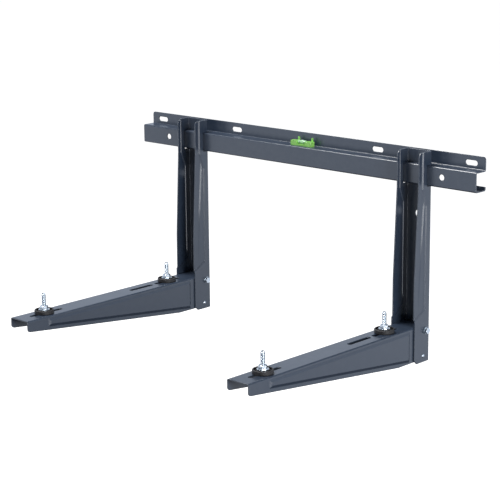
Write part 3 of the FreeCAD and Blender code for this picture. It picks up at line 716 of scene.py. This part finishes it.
# the room: weak light all round, a pale band at eye height in reflections, white when seen
world = bpy.data.worlds.new("paleRoom")
bpy.context.scene.world = world
world.use_nodes = True
worldTree = world.node_tree
worldTree.nodes.clear()
room = addNode(worldTree, "ShaderNodeBackground", 0, 150)
room.inputs["Color"].default_value = stageLook["roomColour"]
room.inputs["Strength"].default_value = stageLook["roomStrength"]
direction = addNode(worldTree, "ShaderNodeTexCoord", -900, -150)
toward = addNode(worldTree, "ShaderNodeVectorMath", -700, -550, operation="DOT_PRODUCT")
toward.inputs[1].default_value = stageLook["darkSide"]
darkPart = addNode(worldTree, "ShaderNodeMapRange", -450, -550)
darkPart.inputs["From Min"].default_value = stageLook["darkEdge"][0]
darkPart.inputs["From Max"].default_value = stageLook["darkEdge"][1]
darkPart.inputs["To Min"].default_value = 1.0
darkPart.inputs["To Max"].default_value = stageLook["darkSideLevel"]
eyeHeight = addNode(worldTree, "ShaderNodeSeparateXYZ", -700, -150)
band = addNode(worldTree, "ShaderNodeValToRGB", -450, -150)
rise = addNode(worldTree, "ShaderNodeMapRange", -600, -350)
rise.inputs["From Min"].default_value = -1.0
rise.inputs["From Max"].default_value = 1.0
bandStops = ((0.0, "bandRest"), (0.28, "bandRest"), (0.40, "bandGlow"),
             (0.68, "bandGlow"), (0.74, "bandRest"), (1.0, "bandRest"))
ramp = band.color_ramp
while len(ramp.elements) < len(bandStops):
    ramp.elements.new(0.5)
for element, (position, tone) in zip(ramp.elements, bandStops):
    element.position = position
    level = stageLook[tone]
    element.color = (*[level * tint for tint in stageLook["bandTint"]], 1)
high = addNode(worldTree, "ShaderNodeVectorMath", -700, -750, operation="DOT_PRODUCT")
high.inputs[1].default_value = stageLook["highSide"]
highPart = addNode(worldTree, "ShaderNodeMapRange", -450, -800)
highPart.inputs["From Min"].default_value = stageLook["highEdge"][0]
highPart.inputs["From Max"].default_value = stageLook["highEdge"][1]
gleam = addNode(worldTree, "ShaderNodeBackground", 0, 0)
backdrop = addNode(worldTree, "ShaderNodeBackground", 0, -150)
backdrop.inputs["Color"].default_value = (1, 1, 1, 1)
backdrop.inputs["Strength"].default_value = 1.0
rays = addNode(worldTree, "ShaderNodeLightPath", -500, 400)
seen = addNode(worldTree, "ShaderNodeMath", -250, 400, operation="MAXIMUM")
chooseGleam = addNode(worldTree, "ShaderNodeMixShader", 250, 100)
chooseSeen = addNode(worldTree, "ShaderNodeMixShader", 450, 0)
worldOut = addNode(worldTree, "ShaderNodeOutputWorld", 650, 0)
worldTree.links.new(direction.outputs["Generated"], eyeHeight.inputs["Vector"])
worldTree.links.new(eyeHeight.outputs["Z"], rise.inputs["Value"])
worldTree.links.new(rise.outputs["Result"], band.inputs["Fac"])
worldTree.links.new(direction.outputs["Generated"], high.inputs[0])
worldTree.links.new(high.outputs["Value"], highPart.inputs["Value"])
glowTone = mixColour(worldTree, -200, -350, highPart.outputs["Result"],
                     band.outputs["Color"], stageLook["highGlow"])
worldTree.links.new(glowTone, gleam.inputs["Color"])
worldTree.links.new(direction.outputs["Generated"], toward.inputs[0])
worldTree.links.new(toward.outputs["Value"], darkPart.inputs["Value"])
worldTree.links.new(darkPart.outputs["Result"], gleam.inputs["Strength"])
worldTree.links.new(rays.outputs["Is Camera Ray"], seen.inputs[0])
worldTree.links.new(rays.outputs["Is Transmission Ray"], seen.inputs[1])
worldTree.links.new(rays.outputs["Is Glossy Ray"], chooseGleam.inputs["Fac"])
worldTree.links.new(room.outputs["Background"], chooseGleam.inputs[1])
worldTree.links.new(gleam.outputs["Background"], chooseGleam.inputs[2])
worldTree.links.new(seen.outputs["Value"], chooseSeen.inputs["Fac"])
worldTree.links.new(chooseGleam.outputs["Shader"], chooseSeen.inputs[1])
worldTree.links.new(backdrop.outputs["Background"], chooseSeen.inputs[2])
worldTree.links.new(chooseSeen.outputs["Shader"], worldOut.inputs["Surface"])

# Lamps: a large soft box above on the left and one on the right, and two low strips
lampLook = {
    "upperLeft": ((-0.80, -0.55, 1.95), (1.3, 1.0), 80, (1.0, 0.99, 0.98)),
    "low": ((1.93, -2.30, -0.63), (1.2, 0.32), 5.5, (1.0, 1.0, 1.0)),
    "lowRight": ((2.85, -0.75, -0.55), (0.9, 0.36), 7.0, (1.0, 1.0, 1.0)),
    "right": ((2.80, -1.00, 0.70), (1.0, 1.6), 66, (0.96, 0.98, 1.0)),
}

lampAim = (0, -0.15, -0.15)


def addLamp(name, place, size, power, colour):
    data = bpy.data.lights.new(name, "AREA")
    data.shape = "RECTANGLE"
    data.size, data.size_y = size
    data.energy = power
    data.color = colour
    lamp = bpy.data.objects.new(name, data)
    bpy.context.scene.collection.objects.link(lamp)
    lamp.location = place
    aim = Vector(lampAim) - Vector(place)
    lamp.rotation_euler = aim.to_track_quat("-Z", "Y").to_euler()


for label, (place, size, power, colour) in lampLook.items():
    addLamp(label + "Lamp", place, size, power, colour)
print("stage and lights ready")

# Camera: the photo's view, solved from the bracket's own corners
cameraLook = {
    "place": (1.95474, -2.21559, 0.49639),
    "turn": 43.42,
    "down": 13.40,
    "roll": -0.61,
    "focal": 1638.71,     # in pixels of a 500 pixel wide frame
    "frame": 500,
}

cameraData = bpy.data.cameras.new("photoCamera")
cameraData.sensor_width = 36.0
cameraData.lens = cameraLook["focal"] / cameraLook["frame"] * 36.0
cameraData.clip_start = 0.01
cameraData.clip_end = 100.0
camera = bpy.data.objects.new("photoCamera", cameraData)
bpy.context.scene.collection.objects.link(camera)
camera.matrix_world = (
    Matrix.Translation(cameraLook["place"])
    @ Matrix.Rotation(math.radians(cameraLook["turn"]), 4, "Z")
    @ Matrix.Rotation(math.radians(90 - cameraLook["down"]), 4, "X")
    @ Matrix.Rotation(math.radians(cameraLook["roll"]), 4, "Z")
)
bpy.context.scene.camera = camera
bpy.context.scene.view_settings.view_transform = "Standard"

print("camera and sizes done")
